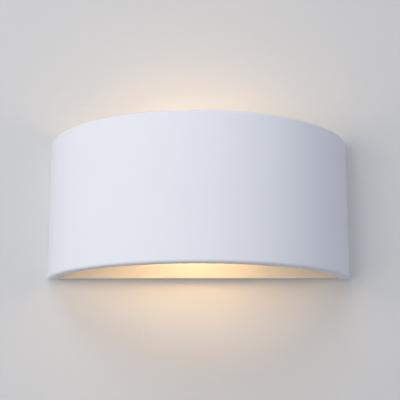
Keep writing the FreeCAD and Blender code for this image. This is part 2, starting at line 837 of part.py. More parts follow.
def make_earth_tag():
    back = Vector(earth_x, -sheet, earth_z)
    front = back - Vector(0, tag_thickness, 0)
    ring = rod(tag_radius, front, back)
    barrel_low = tag_barrel_axis(tag_barrel_start)
    barrel_high = tag_barrel_axis(tag_barrel_start + tag_barrel_length)
    barrel = rod(lead_radius + tag_barrel_wall, barrel_high, barrel_low)
    strip = box((-tag_barrel_start - tag_barrel_overlap, 0), (-sheet - tag_thickness, -sheet),
                (-tag_strip_width / 2, tag_strip_width / 2))
    strip.rotate(Vector(), Vector(0, 1, 0), -earth_angle)
    strip.translate(Vector(earth_x, 0, earth_z))
    tag = ring.fuse([barrel, strip])
    return tag.cut([rod(lead_radius, barrel_high, barrel_low),
                    rod(stud_radius + earth_fit, front, back)])


def make_earth_stud():
    return through_y(stud_radius, earth_x, earth_z, -earth_stud_length, 0)


def make_earth_washer():
    back = -sheet - tag_thickness
    return pipe(earth_washer_radius, stud_radius + earth_fit,
                Vector(earth_x, back - earth_washer_thickness, earth_z),
                Vector(earth_x, back, earth_z))


def make_earth_nut():
    corner = earth_nut_across_flats / math.sqrt(3)
    points = [Vector(corner * math.cos(math.radians(60 * step)),
                     corner * math.sin(math.radians(60 * step)), 0) for step in range(7)]
    nut = Part.Face(Part.makePolygon(points)).extrude(Vector(0, 0, earth_nut_height))
    nut = nut.cut(Part.makeCylinder(stud_radius + earth_fit, earth_nut_height))
    return facing_front(nut, earth_x, -sheet - tag_thickness - earth_washer_thickness, earth_z)


def make_cable_grommet():
    sleeve = Part.makeCylinder(grommet_hole - grommet_fit, sheet, Vector(0, 0, -sheet))
    flange = Part.makeCylinder(grommet_flange, grommet_flange_thickness)
    collar = Part.makeCone(grommet_collar_foot, grommet_collar_radius,
                           grommet_collar_height, Vector(0, 0, grommet_flange_thickness))
    grommet = sleeve.fuse([flange, collar])
    height = grommet_flange_thickness + grommet_collar_height
    bore = Part.makeCylinder(grommet_bore, sheet + height, Vector(0, 0, -sheet))
    return facing_front(grommet.cut(bore), grommet_x, -sheet, 0)


def save(name, made):
    solids = made if isinstance(made, list) else [made]
    shape = solids[0] if len(solids) == 1 else Part.makeCompound(solids)
    count = len(shape.Solids)
    print("%-28s %2d solid(s) %10.1f mm3 %s" % (
        name, count, shape.Volume, "valid" if shape.isValid() else "NOT VALID"))
    shape.exportStep("parts/%s.step" % name)


def main():
    os.makedirs("parts", exist_ok=True)
    save("plaster_shell", make_plaster_shell())
    save("wall_bracket", make_wall_bracket())
    save("hanging_studs", make_hanging_studs())
    save("stud_washers", make_stud_washers())
    save("thumb_nut_left", make_thumb_nut(-stud_x))
    save("thumb_nut_right", make_thumb_nut(stud_x))
    save("holder_arm", make_holder_arm())
    save("arm_rivets", make_arm_rivets())
    save("lampholder_body", make_lampholder_body())
    save("lampholder_base", make_lampholder_base())
    save("lampholder_thread", make_lampholder_thread())
    save("centre_contact", make_centre_contact())
    save("shell_contact", make_shell_contact())
    save("lampholder_screws", make_lampholder_screws())
    save("lampholder_terminal_screws", make_lampholder_terminal_screws())
    save("lamp_glass", make_lamp_glass())
    save("lamp_cap", make_lamp_cap())
    save("lamp_insulator", make_lamp_insulator())
    save("lamp_contact", make_lamp_contact())
    save("lamp_stem", make_lamp_stem())
    save("lamp_filaments", make_lamp_filaments())
    save("filament_wires", make_filament_wires())
    save("lamp_driver", make_lamp_driver())
    save("terminal_block", make_terminal_block())
    save("terminal_tubes", make_terminal_tubes())
    save("terminal_screws", make_terminal_screws())
    save("terminal_block_screws", make_terminal_block_screws())
    save("live_lead", make_live_lead())
    save("neutral_lead", make_neutral_lead())
    save("earth_lead", make_earth_lead())
    save("earth_tag", make_earth_tag())
    save("earth_stud", make_earth_stud())
    save("earth_washer", make_earth_washer())
    save("earth_nut", make_earth_nut())
    save("cable_grommet", make_cable_grommet())


main()
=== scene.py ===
import bpy
import bmesh
import math
from mathutils import Matrix, Vector


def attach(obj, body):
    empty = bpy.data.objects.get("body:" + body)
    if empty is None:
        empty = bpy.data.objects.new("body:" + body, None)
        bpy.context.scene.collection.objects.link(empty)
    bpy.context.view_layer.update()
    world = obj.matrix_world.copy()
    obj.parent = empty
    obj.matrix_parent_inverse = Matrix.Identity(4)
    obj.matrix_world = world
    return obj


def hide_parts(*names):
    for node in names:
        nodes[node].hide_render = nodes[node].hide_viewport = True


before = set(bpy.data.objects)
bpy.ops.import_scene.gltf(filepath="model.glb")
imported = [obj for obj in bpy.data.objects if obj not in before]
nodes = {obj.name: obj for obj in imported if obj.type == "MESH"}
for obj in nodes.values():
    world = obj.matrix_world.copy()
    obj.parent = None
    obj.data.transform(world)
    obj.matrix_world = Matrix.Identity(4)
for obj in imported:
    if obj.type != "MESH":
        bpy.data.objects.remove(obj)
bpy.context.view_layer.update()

mm = 0.001


def linear(hexValue):
    # sRGB hex to the linear colour that a shader works with
    channels = [int(hexValue[i:i + 2], 16) / 255 for i in (0, 2, 4)]
    values = [c / 12.92 if c <= 0.04045 else ((c + 0.055) / 1.055) ** 2.4 for c in channels]
    return (*values, 1.0)


def perMetre(size):
    # a pattern's scale, from the size in millimetres of one of its grains, spots or streaks
    return 1000 / size


def addNode(tree, kind, settings=None, inputs=None):
    node = tree.nodes.new(kind)
    for name, value in (settings or {}).items():
        setattr(node, name, value)
    for name, value in (inputs or {}).items():
        if isinstance(value, bpy.types.NodeSocket):
            tree.links.new(value, node.inputs[name])
        else:
            node.inputs[name].default_value = value
    return node


def startMaterial(name, sockets):
    # a shader with its plain values, and the place on the piece that its patterns read
    material = bpy.data.materials.new(name)
    material.use_nodes = True
    tree = material.node_tree
    tree.nodes.clear()
    shader = addNode(tree, "ShaderNodeBsdfPrincipled", inputs=sockets)
    addNode(tree, "ShaderNodeOutputMaterial", inputs={"Surface": shader.outputs["BSDF"]})
    place = addNode(tree, "ShaderNodeTexCoord").outputs["Object"]
    return material, tree, shader, place


# Where the photograph was taken from, in the light's own frame. The focal length is for a
# sensor 36 mm wide and a square picture.
viewpoint = {"aside": 1.35, "inFront": 980.0, "below": 203.0, "lookUp": 12.3, "focal": 89.5}


def makeCamera(v):
    camera = bpy.data.cameras.new("viewpoint")
    camera.lens = v["focal"]
    camera.sensor_width = 36.0
    holder = bpy.data.objects.new("viewpoint", camera)
    holder.location = (v["aside"] * mm, -v["inFront"] * mm, -v["below"] * mm)
    holder.rotation_euler = (math.radians(90 + v["lookUp"]), 0, 0)
    bpy.context.scene.collection.objects.link(holder)
    bpy.context.scene.camera = holder


makeCamera(viewpoint)

# The wall stands just behind the light and the floor lies below it. The camera sees each from
# one side only, and light that starts within a few millimetres of the wall passes it, so that
# the back of the light can be looked at too.
surround = {"wallGap": 0.5, "wallWidth": 6000, "wallHeight": 3600, "wallGrain": 1.5,
            "wallSeen": "d5d6d9", "wallLit": "d5d6d9", "floorDrop": 700, "floorSize": 4200,
            "floorGrain": 2.0, "floorSeen": "dadbde", "floorLit": "9b9ca0", "passed": 3.0}


def oneSidedPaint(name, seen, lit, grain, passed):
    # Matt paint with the fine stipple that a roller leaves. seen is the colour in the picture,
    # and lit is the colour that sends light back.
    material, tree, shader, place = startMaterial(name, {
        "Roughness": 0.9, "Specular IOR Level": 0.2})
    roller = addNode(tree, "ShaderNodeTexNoise", inputs={
        "Vector": place, "Scale": perMetre(grain), "Detail": 2.0})
    bump = addNode(tree, "ShaderNodeBump", inputs={
        "Height": roller.outputs["Fac"], "Distance": 0.05 * mm, "Strength": 0.6})
    tree.links.new(bump.outputs["Normal"], shader.inputs["Normal"])
    ray = addNode(tree, "ShaderNodeLightPath")
    colour = addNode(tree, "ShaderNodeMix", {"data_type": "RGBA"}, {
        0: ray.outputs["Is Camera Ray"], 6: linear(lit), 7: linear(seen)})
    tree.links.new(colour.outputs[2], shader.inputs["Base Color"])
    behind = addNode(tree, "ShaderNodeNewGeometry").outputs["Backfacing"]
    close = addNode(tree, "ShaderNodeMath", {"operation": "LESS_THAN"}, {
        0: ray.outputs["Ray Length"], 1: passed * mm})
    clearHere = addNode(tree, "ShaderNodeMix", {"data_type": "FLOAT"}, {
        0: ray.outputs["Is Camera Ray"], 2: close.outputs[0], 3: behind})
    clear = addNode(tree, "ShaderNodeBsdfTransparent")
    mix = addNode(tree, "ShaderNodeMixShader", inputs={
        0: clearHere.outputs[0], 1: shader.outputs["BSDF"], 2: clear.outputs["BSDF"]})
    tree.links.new(mix.outputs["Shader"], tree.nodes["Material Output"].inputs["Surface"])
    return material


def flatSheet(name, width, height, material):
    sheet = bmesh.new()
    bmesh.ops.create_grid(sheet, x_segments=1, y_segments=1, size=0.5)
    bmesh.ops.scale(sheet, vec=(width * mm, height * mm, 1), verts=sheet.verts)
    mesh = bpy.data.meshes.new(name)
    sheet.to_mesh(mesh)
    sheet.free()
    mesh.materials.append(material)
    made = bpy.data.objects.new(name, mesh)
    bpy.context.scene.collection.objects.link(made)
    return made


def makeSurround(s):
    wall = flatSheet("wall", s["wallWidth"], s["wallHeight"],
                     oneSidedPaint("wallPaint", s["wallSeen"], s["wallLit"],
                                  s["wallGrain"], s["passed"]))
    wall.rotation_euler = (math.radians(90), 0, 0)
    wall.location = (0, s["wallGap"] * mm, (s["wallHeight"] / 2 - s["floorDrop"]) * mm)
    floor = flatSheet("floor", s["floorSize"], s["floorSize"],
                      oneSidedPaint("floorPaint", s["floorSeen"], s["floorLit"],
                                   s["floorGrain"], 0.0))
    floor.location = (0, 0, -s["floorDrop"] * mm)


makeSurround(surround)

# Soft lamps, placed by their angle round the light (0 is straight in front, minus is the left
# of the photograph), their height as an angle, and their distance. The one behind the wall
# lights the back and is so near the middle that it leaves the sides alone. Sizes in
# millimetres, power in watts.
lamps = {
    "key": {"round": -40, "up": 0, "far": 2200, "size": (1200, 1300), "power": 20.5,
            "colour": "fffbf4"},
    "upper": {"round": -14, "up": 45, "far": 2200, "size": (1400, 800), "power": 12.5,
              "colour": "fffdfa"},
    "front": {"round": 5, "up": 0, "far": 2200, "size": (1000, 1300), "power": 4.5,
              "colour": "ffffff"},
    "right": {"round": 60, "up": 0, "far": 2200, "size": (800, 1300), "power": 4.5,
              "colour": "f8f9ff"},
    "rear": {"round": 176, "up": 22, "far": 2400, "size": (500, 500), "power": 31.0,
             "colour": "ffffff"},
}
ambient = {"light": "e8f1ff", "strength": 0.285, "seen": "e6e8ec"}


def makeLamps(placed, room):
    for name, lamp in placed.items():
        light = bpy.data.lights.new(name, "AREA")
        light.shape = "RECTANGLE"
        light.size = lamp["size"][0] * mm
        light.size_y = lamp["size"][1] * mm
        light.energy = lamp["power"]
        light.color = linear(lamp["colour"])[:3]
        holder = bpy.data.objects.new(name, light)
        turn = Matrix.Rotation(math.radians(lamp["round"]), 3, "Z")
        tilt = Matrix.Rotation(-math.radians(lamp["up"]), 3, "X")
        holder.location = turn @ tilt @ Vector((0, -lamp["far"] * mm, 0))
        holder.rotation_euler = (-holder.location).to_track_quat("-Z", "Y").to_euler()
        bpy.context.scene.collection.objects.link(holder)
    world = bpy.data.worlds.new("room")
    bpy.context.scene.world = world
    world.use_nodes = True
    tree = world.node_tree
    tree.nodes.clear()
    lit = addNode(tree, "ShaderNodeBackground", inputs={
        "Color": linear(room["light"]), "Strength": room["strength"]})
    shown = addNode(tree, "ShaderNodeBackground", inputs={
        "Color": linear(room["seen"]), "Strength": 1.0})
    seen = addNode(tree, "ShaderNodeLightPath").outputs["Is Camera Ray"]
    mix = addNode(tree, "ShaderNodeMixShader", inputs={
        0: seen, 1: lit.outputs["Background"], 2: shown.outputs["Background"]})
    addNode(tree, "ShaderNodeOutputWorld", inputs={"Surface": mix.outputs["Shader"]})


makeLamps(lamps, ambient)
bpy.context.scene.view_settings.view_transform = "Standard"
print("camera, surround and lamps are in place")


def finishNodes(material, *names):
    for name in names:
        nodes[name].data.materials.clear()
        nodes[name].data.materials.append(material)


# Sizes and depths in millimetres. The hollow is the ellipse that the inside of the shell
# follows: half its width, its depth from its middle, and how far behind the wall that lies.
# The inside carries painted shade, a greyer colour that dims its lamp-lit face, and this gives
# way to paint between the two shares of the hollow's reach. Bare plaster covers the last half
# millimetre before the wall.
plasterLook = {"paint": "eef1fa", "thin": "ebeef7", "barePlasterAndShade": "d8d6d1",
               "wave": 45, "waveDeep": 0.12, "grain": 0.7, "grainDeep": 0.03,
               "pinhole": 9, "pinholeEdge": 0.045, "pinholeRare": 0.86, "pinholeDeep": 0.12,
               "hollowAcross": 142.46, "hollowDeep": 132.5, "hollowMiddle": 28.0,
               "shadeUpTo": 1.002, "paintFrom": 1.012, "backFrom": 0.5, "backFull": 0.2,
               "paintedRough": 0.82, "rawRough": 0.97}


def castPlaster(look):
    # Gypsum plaster, cast, sanded by hand and painted matt: an even chalky white with a breath
    # of lilac, the faintest waves, fine grain and a few pinholes. The face against the wall is
    # bare plaster, greyer and rougher, as it left the mould. The inside is rougher too, and its
    # greyer colour is painted shade that dims it where the lamp lights it.
    material, tree, shader, place = startMaterial("castPlaster", {"Specular IOR Level": 0.25})
    wave = addNode(tree, "ShaderNodeTexNoise", inputs={
        "Vector": place, "Scale": perMetre(look["wave"]), "Detail": 2.0, "Roughness": 0.4})
    grain = addNode(tree, "ShaderNodeTexNoise", inputs={
        "Vector": place, "Scale": perMetre(look["grain"]), "Detail": 2.0})
    holes = addNode(tree, "ShaderNodeTexVoronoi", {"feature": "F1"}, {
        "Vector": place, "Scale": perMetre(look["pinhole"]), "Randomness": 1.0})
    pit = addNode(tree, "ShaderNodeMapRange", inputs={
        "Value": holes.outputs["Distance"], "From Min": 0.0,
        "From Max": look["pinholeEdge"]})
    rare = addNode(tree, "ShaderNodeMath", {"operation": "GREATER_THAN"}, {
        0: holes.outputs["Color"], 1: look["pinholeRare"]})
    kept = addNode(tree, "ShaderNodeMix", {"data_type": "FLOAT"}, {
        0: rare.outputs[0], 2: 1.0, 3: pit.outputs["Result"]})
    across, deep = look["hollowAcross"] * mm, look["hollowDeep"] * mm
    centred = addNode(tree, "ShaderNodeMapping", inputs={
        "Vector": place, "Scale": (1 / across, 1 / deep, 0),
        "Location": (0, -look["hollowMiddle"] * mm / deep, 0)})
    out = addNode(tree, "ShaderNodeVectorMath", {"operation": "LENGTH"}, {
        0: centred.outputs["Vector"]})
    # the inside: painted shade, a greyer colour that dims the lamp-lit inside of the shell
    inside = addNode(tree, "ShaderNodeMapRange", inputs={
        "Value": out.outputs["Value"], "From Min": look["shadeUpTo"],
        "From Max": look["paintFrom"], "To Min": 1.0, "To Max": 0.0})
    split = addNode(tree, "ShaderNodeSeparateXYZ", inputs={"Vector": place})
    back = addNode(tree, "ShaderNodeMapRange", inputs={
        "Value": split.outputs["Y"], "From Min": -look["backFrom"] * mm,
        "From Max": -look["backFull"] * mm})
    # bare plaster on the face against the wall, and painted shade on the inside
    bareAndShaded = addNode(tree, "ShaderNodeMath", {"operation": "MAXIMUM"}, {
        0: inside.outputs["Result"], 1: back.outputs["Result"]})
    paint = addNode(tree, "ShaderNodeMix", {"data_type": "RGBA"}, {
        0: wave.outputs["Fac"], 6: linear(look["thin"]), 7: linear(look["paint"])})
    # paint outside, and one greyer colour for the bare back and as painted shade inside
    coat = addNode(tree, "ShaderNodeMix", {"data_type": "RGBA"}, {
        0: bareAndShaded.outputs[0], 6: paint.outputs[2], 7: linear(look["barePlasterAndShade"])})
    tree.links.new(coat.outputs[2], shader.inputs["Base Color"])
    rough = addNode(tree, "ShaderNodeMapRange", inputs={
        "Value": bareAndShaded.outputs[0], "To Min": look["paintedRough"],
        "To Max": look["rawRough"]})
    tree.links.new(rough.outputs["Result"], shader.inputs["Roughness"])
    sanded = addNode(tree, "ShaderNodeBump", inputs={
        "Height": wave.outputs["Fac"], "Distance": look["waveDeep"] * mm})
    grained = addNode(tree, "ShaderNodeBump", inputs={
        "Height": grain.outputs["Fac"], "Distance": look["grainDeep"] * mm,
        "Normal": sanded.outputs["Normal"]})
    pitted = addNode(tree, "ShaderNodeBump", inputs={
        "Height": kept.outputs[0], "Distance": look["pinholeDeep"] * mm,
        "Normal": grained.outputs["Normal"]})
    tree.links.new(pitted.outputs["Normal"], shader.inputs["Normal"])
    return material


finishNodes(castPlaster(plasterLook), "plaster_shell")

opalLook = {"glass": "fff4e6", "glow": "ffd296", "bright": 9.6, "neckBright": 4.3,
            "neckStart": 22.0, "neckEnd": 44.0, "etch": 0.6, "etchDeep": 0.01}


def opalGlass(look):
    # Blown opal glass with an acid-etched, satin outside: it glows evenly, hides the filaments
    # and is a little dimmer towards its neck.
    material, tree, shader, place = startMaterial("satinOpalGlass", {
        "Base Color": linear(look["glass"]), "Roughness": 0.38, "IOR": 1.5,
        "Emission Color": linear(look["glow"])})
    split = addNode(tree, "ShaderNodeSeparateXYZ", inputs={"Vector": place})
    glow = addNode(tree, "ShaderNodeMapRange", inputs={
        "Value": split.outputs["X"], "From Min": look["neckStart"] * mm,
        "From Max": look["neckEnd"] * mm, "To Min": look["bright"], "To Max": look["neckBright"]})
    tree.links.new(glow.outputs["Result"], shader.inputs["Emission Strength"])
    etched = addNode(tree, "ShaderNodeTexNoise", inputs={
        "Vector": place, "Scale": perMetre(look["etch"]), "Detail": 2.0})
    bump = addNode(tree, "ShaderNodeBump", inputs={
        "Height": etched.outputs["Fac"], "Distance": look["etchDeep"] * mm})
    tree.links.new(bump.outputs["Normal"], shader.inputs["Normal"])
    return material


finishNodes(opalGlass(opalLook), "lamp_glass")

zincLook = {"zinc": "cfd3d8", "cool": "bcc5d3", "warm": "d3cdb9", "cloud": 22, "spangle": 3.0,
            "spangleDeep": 0.02, "scratch": 0.25, "scratchDeep": 0.012, "smooth": 0.3,
            "rough": 0.48, "evened": 0.55, "crystalPale": 1.04, "crystalDark": 0.86}


def zincPlate(look, name, along):
    # Rolled sheet steel, bright zinc plated and passivated: a pale blue-grey metal with small
    # crystals, faint straw and blue clouds, and fine lines along the way it was rolled.
    material, tree, shader, place = startMaterial(name, {"Metallic": 1.0})
    crystals = addNode(tree, "ShaderNodeTexVoronoi", {"feature": "SMOOTH_F1"}, {
        "Vector": place, "Scale": perMetre(look["spangle"]), "Smoothness": 0.4})
    clouds = addNode(tree, "ShaderNodeTexNoise", inputs={
        "Vector": place, "Scale": perMetre(look["cloud"]), "Detail": 3.0})
    stretch = addNode(tree, "ShaderNodeMapping", inputs={"Vector": place, "Scale": along})
    lines = addNode(tree, "ShaderNodeTexNoise", inputs={
        "Vector": stretch.outputs["Vector"], "Scale": perMetre(look["scratch"]), "Detail": 3.0})
    ramp = addNode(tree, "ShaderNodeMapRange", inputs={
        "Value": clouds.outputs["Fac"], "From Min": 0.35, "From Max": 0.65})
    tint = addNode(tree, "ShaderNodeMix", {"data_type": "RGBA"}, {
        0: ramp.outputs["Result"], 6: linear(look["cool"]), 7: linear(look["warm"])})
    soft = addNode(tree, "ShaderNodeMix", {"data_type": "RGBA"}, {
        0: look["evened"], 6: tint.outputs[2], 7: linear(look["zinc"])})
    grey = addNode(tree, "ShaderNodeMapRange", inputs={
        "Value": crystals.outputs["Distance"], "To Min": look["crystalPale"],
        "To Max": look["crystalDark"]})
    colour = addNode(tree, "ShaderNodeVectorMath", {"operation": "SCALE"}, {
        0: soft.outputs[2], "Scale": grey.outputs["Result"]})
    tree.links.new(colour.outputs["Vector"], shader.inputs["Base Color"])
    rough = addNode(tree, "ShaderNodeMapRange", inputs={
        "Value": lines.outputs["Fac"], "From Min": 0.3, "From Max": 0.7,
        "To Min": look["smooth"], "To Max": look["rough"]})
    tree.links.new(rough.outputs["Result"], shader.inputs["Roughness"])
    grown = addNode(tree, "ShaderNodeBump", inputs={
        "Height": crystals.outputs["Distance"], "Distance": look["spangleDeep"] * mm})
    rolled = addNode(tree, "ShaderNodeBump", inputs={
        "Height": lines.outputs["Fac"], "Distance": look["scratchDeep"] * mm,
        "Normal": grown.outputs["Normal"]})
    tree.links.new(rolled.outputs["Normal"], shader.inputs["Normal"])
    return material


finishNodes(zincPlate(zincLook, "zincPlatedSheet", (0.04, 1, 1)), "wall_bracket")
finishNodes(zincPlate(zincLook, "zincPlatedArm", (1, 1, 0.04)), "holder_arm")


def turnedMetal(name, look):
    # Small machined parts. The tool leaves fine rings, and handling leaves darker spots.
    material, tree, shader, place = startMaterial(name, {"Metallic": 1.0})
    handled = addNode(tree, "ShaderNodeTexNoise", inputs={
        "Vector": place, "Scale": perMetre(look["spot"]), "Detail": 4.0})
    rings = addNode(tree, "ShaderNodeTexNoise", inputs={
        "Vector": place, "Scale": perMetre(look["line"]), "Detail": 1.0})
    ramp = addNode(tree, "ShaderNodeMapRange", inputs={
        "Value": handled.outputs["Fac"], "From Min": 0.42, "From Max": 0.7})
    colour = addNode(tree, "ShaderNodeMix", {"data_type": "RGBA"}, {
        0: ramp.outputs["Result"], 6: linear(look["clean"]), 7: linear(look["dull"])})
    tree.links.new(colour.outputs[2], shader.inputs["Base Color"])
    rough = addNode(tree, "ShaderNodeMapRange", inputs={
        "Value": handled.outputs["Fac"], "From Min": 0.3, "From Max": 0.7,
        "To Min": look["smooth"], "To Max": look["rough"]})
    tree.links.new(rough.outputs["Result"], shader.inputs["Roughness"])
    dented = addNode(tree, "ShaderNodeBump", inputs={
        "Height": handled.outputs["Fac"], "Distance": look["dent"] * mm})
    ringed = addNode(tree, "ShaderNodeBump", inputs={
        "Height": rings.outputs["Fac"], "Distance": look["cut"] * mm,
        "Normal": dented.outputs["Normal"]})
    tree.links.new(ringed.outputs["Normal"], shader.inputs["Normal"])
    return material


metals = {
    # bright steel, cold headed: a cool grey shine with duller handled spots
    "coldHeadedSteel": {"clean": "c3c6ca", "dull": "9fa1a3", "spot": 2.5, "line": 0.3,
                        "smooth": 0.22, "rough": 0.42, "dent": 0.02, "cut": 0.008},
    # turned brass: warm yellow, browner where it has tarnished
    "turnedBrass": {"clean": "e3c07a", "dull": "b58f4c", "spot": 3.5, "line": 0.3,
                    "smooth": 0.2, "rough": 0.4, "dent": 0.02, "cut": 0.01},
    # rolled spring bronze: pinker and softer in its shine than brass
    "phosphorBronzeStrip": {"clean": "d49a6a", "dull": "a8714a", "spot": 3.0, "line": 0.3,
                            "smooth": 0.24, "rough": 0.42, "dent": 0.015, "cut": 0.008},
    # nickel on the drawn lamp cap: smooth, bright and slightly warm
    "nickelPlatedCap": {"clean": "d2cdc2", "dull": "b3aea3", "spot": 5.0, "line": 0.4,
                        "smooth": 0.18, "rough": 0.34, "dent": 0.02, "cut": 0.006},
    # tinned copper: pale grey with copper showing through at the handled spots
    "tinnedCopper": {"clean": "d3d0c9", "dull": "b7a995", "spot": 2.0, "line": 0.3,
                     "smooth": 0.28, "rough": 0.46, "dent": 0.02, "cut": 0.008},
    # a dome of soft solder: lumpy, bright where it flowed and grey where it froze
    "softSolder": {"clean": "c0c1c4", "dull": "8f9092", "spot": 1.2, "line": 0.5,
                   "smooth": 0.25, "rough": 0.5, "dent": 0.12, "cut": 0.01},
}
metalNodes = {
    "coldHeadedSteel": ["hanging_studs", "stud_washers", "arm_rivets", "lampholder_screws",
                        "filament_wires", "terminal_screws", "terminal_block_screws",
                        "earth_stud", "earth_washer"],
    "turnedBrass": ["thumb_nut_left", "thumb_nut_right", "lampholder_thread",
                    "lampholder_terminal_screws", "terminal_tubes", "earth_nut"],
    "phosphorBronzeStrip": ["centre_contact", "shell_contact"],
    "nickelPlatedCap": ["lamp_cap"],
    "tinnedCopper": ["earth_tag"],
    "softSolder": ["lamp_contact"],
}
for metal, names in metalNodes.items():
    finishNodes(turnedMetal(metal, metals[metal]), *names)
print("plaster, opal glass and metals are on")

porcelainLook = {"glaze": "f3f1ea", "body": "dcd6c8", "ripple": 6.0,
                 "rippleDeep": 0.06, "speck": 1.6, "speckFrom": 0.78, "speckFull": 0.84}


def glazedPorcelain(look):
    # Pressed electrical porcelain under a clear glaze: warm white, glossy and slightly wavy,
    # with a rare fine iron speck.
    material, tree, shader, place = startMaterial("glazedPorcelain", {
        "Roughness": 0.14, "IOR": 1.52, "Subsurface Weight": 0.15, "Subsurface Scale": 0.6 * mm,
        "Coat Weight": 0.4, "Coat Roughness": 0.06})
    ripple = addNode(tree, "ShaderNodeTexNoise", inputs={
        "Vector": place, "Scale": perMetre(look["ripple"]), "Detail": 1.0})
    speck = addNode(tree, "ShaderNodeTexNoise", inputs={
        "Vector": place, "Scale": perMetre(look["speck"]), "Detail": 0.0})
    rare = addNode(tree, "ShaderNodeMapRange", inputs={
        "Value": speck.outputs["Fac"], "From Min": look["speckFrom"],
        "From Max": look["speckFull"]})
    colour = addNode(tree, "ShaderNodeMix", {"data_type": "RGBA"}, {
        0: rare.outputs["Result"], 6: linear(look["glaze"]), 7: linear(look["body"])})
    tree.links.new(colour.outputs[2], shader.inputs["Base Color"])
    bump = addNode(tree, "ShaderNodeBump", inputs={
        "Height": ripple.outputs["Fac"], "Distance": look["rippleDeep"] * mm})
    tree.links.new(bump.outputs["Normal"], shader.inputs["Normal"])
    return material


finishNodes(glazedPorcelain(porcelainLook), "lampholder_body", "lampholder_base")


def mouldedPiece(name, look):
    # Moulded and extruded soft or hard pieces: a fine skin, a little cloudiness in the colour
    # and a sheen that varies with it.
    material, tree, shader, place = startMaterial(name, look["sockets"])
    cloud = addNode(tree, "ShaderNodeTexNoise", inputs={
        "Vector": place, "Scale": perMetre(look["cloud"]), "Detail": 3.0})
    skin = addNode(tree, "ShaderNodeTexNoise", inputs={
        "Vector": place, "Scale": perMetre(look["skin"]), "Detail": 2.0})
    ramp = addNode(tree, "ShaderNodeMapRange", inputs={
        "Value": cloud.outputs["Fac"], "From Min": 0.35, "From Max": 0.65})
    colour = addNode(tree, "ShaderNodeMix", {"data_type": "RGBA"}, {
        0: ramp.outputs["Result"], 6: linear(look["light"]), 7: linear(look["dark"])})
    tree.links.new(colour.outputs[2], shader.inputs["Base Color"])
    rough = addNode(tree, "ShaderNodeMapRange", inputs={
        "Value": skin.outputs["Fac"], "From Min": 0.3, "From Max": 0.7,
        "To Min": look["smooth"], "To Max": look["rough"]})
    tree.links.new(rough.outputs["Result"], shader.inputs["Roughness"])
    sunk = addNode(tree, "ShaderNodeBump", inputs={
        "Height": cloud.outputs["Fac"], "Distance": look["sink"] * mm})
    textured = addNode(tree, "ShaderNodeBump", inputs={
        "Height": skin.outputs["Fac"], "Distance": look["texture"] * mm,
        "Normal": sunk.outputs["Normal"]})
    tree.links.new(textured.outputs["Normal"], shader.inputs["Normal"])
    return material


moulded = {
    # natural nylon: milky, slightly see-through, smooth from the mould
    "naturalNylon": {"sockets": {"Subsurface Weight": 0.35, "Subsurface Scale": 1.0 * mm,
                                 "IOR": 1.53},
                     "light": "f0eee6", "dark": "e6e3d8", "cloud": 6, "skin": 0.4,
                     "smooth": 0.32, "rough": 0.44, "sink": 0.05, "texture": 0.006},
    # EPDM rubber: black, matt, with a grey bloom where it is handled
    "blackRubber": {"sockets": {"IOR": 1.5, "Specular IOR Level": 0.35},
                    "light": "2b2b2c", "dark": "19191a", "cloud": 3, "skin": 0.3,
                    "smooth": 0.6, "rough": 0.8, "sink": 0.05, "texture": 0.02},
    # silicone lead insulation: soft sheen, a trace of talc
    "brownSilicone": {"sockets": {"IOR": 1.43, "Sheen Weight": 0.1},
                      "light": "6e4430", "dark": "5e3826", "cloud": 5, "skin": 0.4,
                      "smooth": 0.42, "rough": 0.58, "sink": 0.04, "texture": 0.01},
    "blueSilicone": {"sockets": {"IOR": 1.43, "Sheen Weight": 0.1},
                     "light": "3a78b8", "dark": "2b67a6", "cloud": 5, "skin": 0.4,
                     "smooth": 0.42, "rough": 0.58, "sink": 0.04, "texture": 0.01},
    # pressed black glass round the lamp's contact: glossy, faintly flowed
    "pressedBlackGlass": {"sockets": {"IOR": 1.52},
                          "light": "1d1b1f", "dark": "111013", "cloud": 3, "skin": 0.8,
                          "smooth": 0.06, "rough": 0.14, "sink": 0.05, "texture": 0.01},
    # silicone loaded with yellow phosphor over the light-giving strips, lit from inside
    "phosphorCoat": {"sockets": {"IOR": 1.43, "Emission Color": linear("ffcf8a"),
                                 "Emission Strength": 4.0},
                     "light": "f5c54e", "dark": "eab33a", "cloud": 1.5, "skin": 0.3,
                     "smooth": 0.4, "rough": 0.6, "sink": 0.05, "texture": 0.03},
}
mouldedNodes = {
    "naturalNylon": ["terminal_block"], "blackRubber": ["cable_grommet"],
    "brownSilicone": ["live_lead"], "blueSilicone": ["neutral_lead"],
    "pressedBlackGlass": ["lamp_insulator"], "phosphorCoat": ["lamp_filaments"],
}
for finish, names in mouldedNodes.items():
    finishNodes(mouldedPiece(finish, moulded[finish]), *names)

stripeLook = {"green": "2f8f3c", "yellow": "e8c92c", "edge": 0.62, "blur": 0.02, "skin": 0.4,
              "texture": 0.01, "smooth": 0.4, "rough": 0.6}


